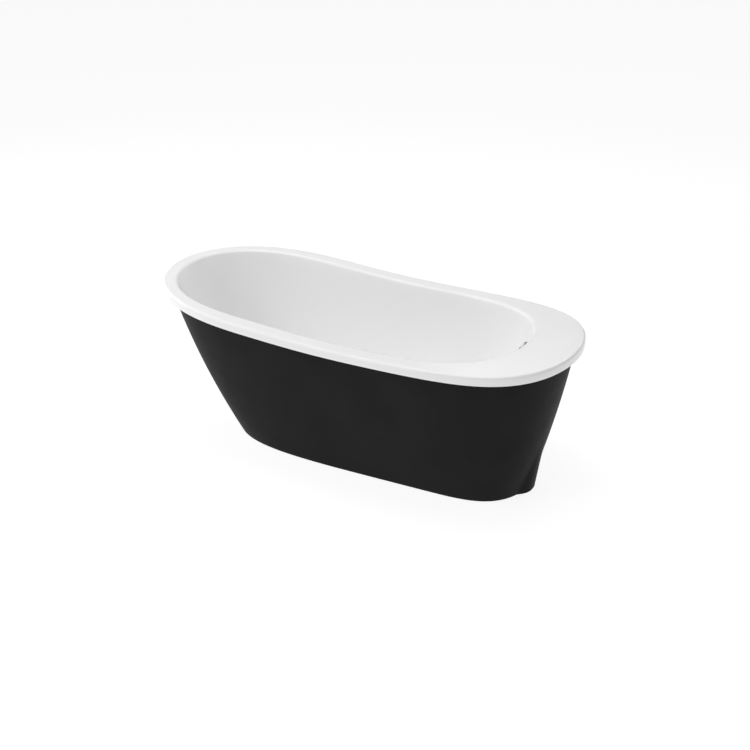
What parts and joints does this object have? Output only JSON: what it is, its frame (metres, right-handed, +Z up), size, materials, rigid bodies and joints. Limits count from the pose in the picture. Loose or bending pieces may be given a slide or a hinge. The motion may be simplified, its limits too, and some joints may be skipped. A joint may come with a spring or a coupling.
{
  "type": "freestanding bathtub",
  "caption": "Freestanding slipper bathtub: an egg-shaped white basin with a raised backrest and flat drain-end deck, in a flared black skirt with a waste bulge, on levelling feet.",
  "frame": {"origin": "on the floor under the middle of the rim's length and width", "axes": "+X along the tub towards the drain end, +Y across it, +Z up"},
  "size_m": [1.676, 0.808, 0.644],
  "materials": {
    "white_acrylic": "gloss white cast acrylic",
    "black_skirt": "satin black moulded acrylic",
    "sealant": "satin white bonding sealant",
    "laminate": "raw glass-fibre laminate",
    "board": "sealed particle board",
    "galvanised_steel": "galvanised, light spangle",
    "zinc_plate": "bright zinc plate",
    "pad_nylon": "fine matt grain",
    "chrome": "polished",
    "washer_white": "smooth",
    "black_rubber": "smooth matt",
    "waste_brass": "rough cast and turned",
    "tube_brass": "drawn tube"
  },
  "bodies": {
    "tub": {"basin": "white_acrylic", "skirt": "black_skirt", "rim_sealant": "sealant", "floor_bedding": "laminate", "base_board": "board", "rail_back": "galvanised_steel", "rail_middle": "galvanised_steel", "rail_drain": "galvanised_steel", "rail_screws": "zinc_plate", "foot_weld_nuts": "zinc_plate", "foot_lock_nuts": "zinc_plate", "drain_flange": "chrome", "flange_washer": "washer_white", "drain_gasket": "black_rubber", "drain_shoe": "waste_brass", "waste_pipe": "tube_brass", "waste_tee": "waste_brass", "slip_nuts": "waste_brass", "slip_washers": "washer_white", "tail_pipe": "tube_brass", "riser_pipe": "tube_brass", "overflow_elbow": "waste_brass", "overflow_gasket": "black_rubber", "overflow_bezel": "chrome", "overflow_screws": "chrome"},
    "stopper": {"stopper_cap": "chrome", "stopper_seal": "black_rubber", "stopper_post": "waste_brass"},
    "foot_1": {"foot_pad_1": "pad_nylon"},
    "stud_1": {"foot_stud_1": "zinc_plate"},
    "foot_2": {"foot_pad_2": "pad_nylon"},
    "stud_2": {"foot_stud_2": "zinc_plate"},
    "foot_3": {"foot_pad_3": "pad_nylon"},
    "stud_3": {"foot_stud_3": "zinc_plate"},
    "foot_4": {"foot_pad_4": "pad_nylon"},
    "stud_4": {"foot_stud_4": "zinc_plate"},
    "foot_5": {"foot_pad_5": "pad_nylon"},
    "stud_5": {"foot_stud_5": "zinc_plate"}
  },
  "joints": [
    {"name": "stopper_lift", "type": "slide", "parent": "tub", "child": "stopper", "axis": [0, 0, 1], "range_m": [0, 0.01]},
    {"name": "foot_1_height", "type": "slide", "parent": "tub", "child": "foot_1", "axis": [0, 0, -1], "range_m": [0, 0.016]},
    {"name": "foot_1_screw", "type": "hinge", "parent": "foot_1", "child": "stud_1", "pos_m": [-0.33, -0.12, 0], "axis": [0, 0, -1], "range_deg": [0, 3292]},
    {"name": "foot_2_height", "type": "slide", "parent": "tub", "child": "foot_2", "axis": [0, 0, -1], "range_m": [0, 0.016]},
    {"name": "foot_2_screw", "type": "hinge", "parent": "foot_2", "child": "stud_2", "pos_m": [-0.33, 0.12, 0], "axis": [0, 0, -1], "range_deg": [0, 3292]},
    {"name": "foot_3_height", "type": "slide", "parent": "tub", "child": "foot_3", "axis": [0, 0, -1], "range_m": [0, 0.016]},
    {"name": "foot_3_screw", "type": "hinge", "parent": "foot_3", "child": "stud_3", "pos_m": [0, 0, 0], "axis": [0, 0, -1], "range_deg": [0, 3292]},
    {"name": "foot_4_height", "type": "slide", "parent": "tub", "child": "foot_4", "axis": [0, 0, -1], "range_m": [0, 0.016]},
    {"name": "foot_4_screw", "type": "hinge", "parent": "foot_4", "child": "stud_4", "pos_m": [0.29, -0.12, 0], "axis": [0, 0, -1], "range_deg": [0, 3292]},
    {"name": "foot_5_height", "type": "slide", "parent": "tub", "child": "foot_5", "axis": [0, 0, -1], "range_m": [0, 0.016]},
    {"name": "foot_5_screw", "type": "hinge", "parent": "foot_5", "child": "stud_5", "pos_m": [0.29, 0.12, 0], "axis": [0, 0, -1], "range_deg": [0, 3292]}
  ],
  "couplings": [
    {"joint": "foot_1_screw", "follows": "foot_1_height", "rad_per_m": 3590.4},
    {"joint": "foot_2_screw", "follows": "foot_2_height", "rad_per_m": 3590.4},
    {"joint": "foot_3_screw", "follows": "foot_3_height", "rad_per_m": 3590.4},
    {"joint": "foot_4_screw", "follows": "foot_4_height", "rad_per_m": 3590.4},
    {"joint": "foot_5_screw", "follows": "foot_5_height", "rad_per_m": 3590.4}
  ]
}
